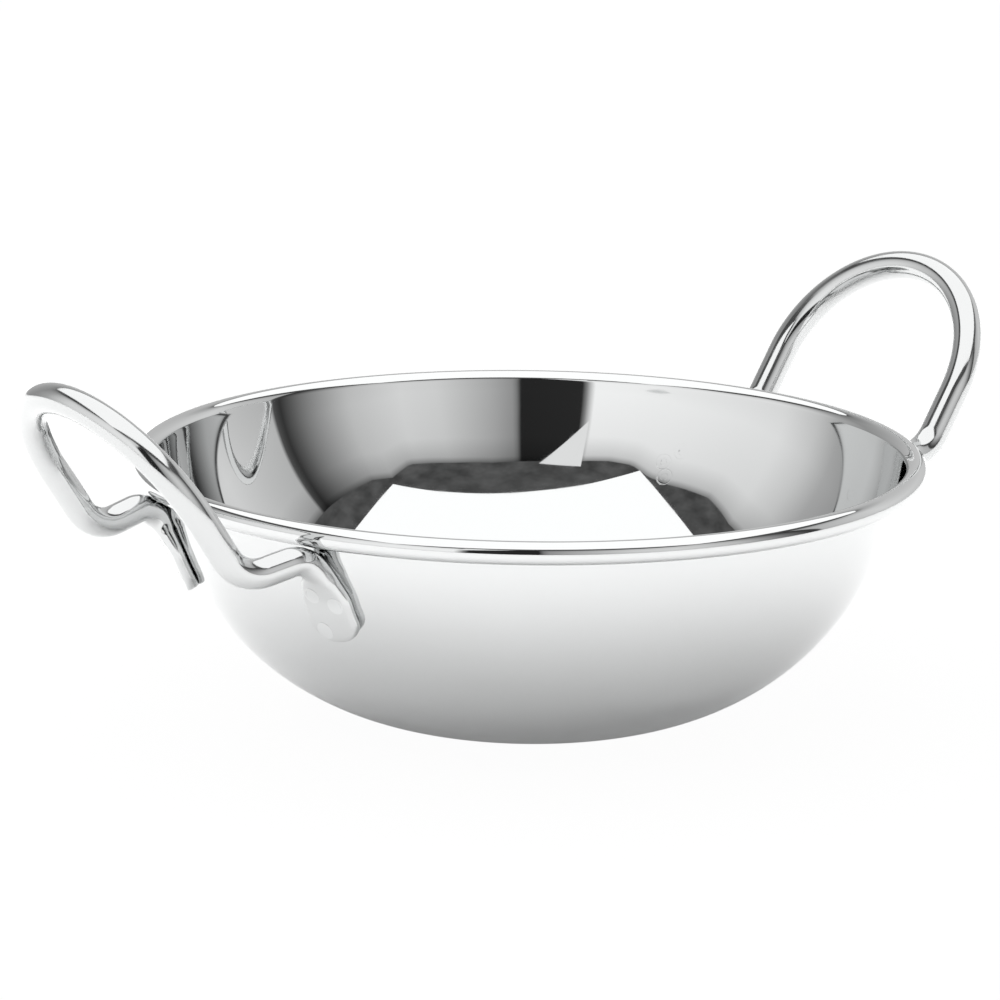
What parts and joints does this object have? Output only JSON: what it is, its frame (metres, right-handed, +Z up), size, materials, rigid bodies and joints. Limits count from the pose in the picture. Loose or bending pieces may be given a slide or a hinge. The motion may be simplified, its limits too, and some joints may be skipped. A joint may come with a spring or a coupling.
{
  "type": "kadai",
  "caption": "Round-bottomed steel serving bowl with a rolled rim and upright loop handles whose flattened feet are spot-welded under the rim.",
  "frame": {"origin": "middle of the bowl's flat base, on the surface that it stands on", "axes": "+Z up through the bowl's mouth; +X towards the right-hand handle, along the bowl's middle line; both handles sit 2.8 degrees round from that line towards +Y"},
  "size_m": [0.2286, 0.16, 0.0807],
  "materials": {
    "polished_sheet": "mirror-polished stainless steel sheet",
    "polished_rod": "polished stainless steel rod",
    "weld_metal": "resistance-welded steel, buffed over"
  },
  "bodies": {
    "root": {"bowl": "polished_sheet", "left_handle": "polished_rod", "right_handle": "polished_rod", "left_front_welds": "weld_metal", "left_back_welds": "weld_metal", "right_front_welds": "weld_metal", "right_back_welds": "weld_metal"}
  },
  "joints": []
}
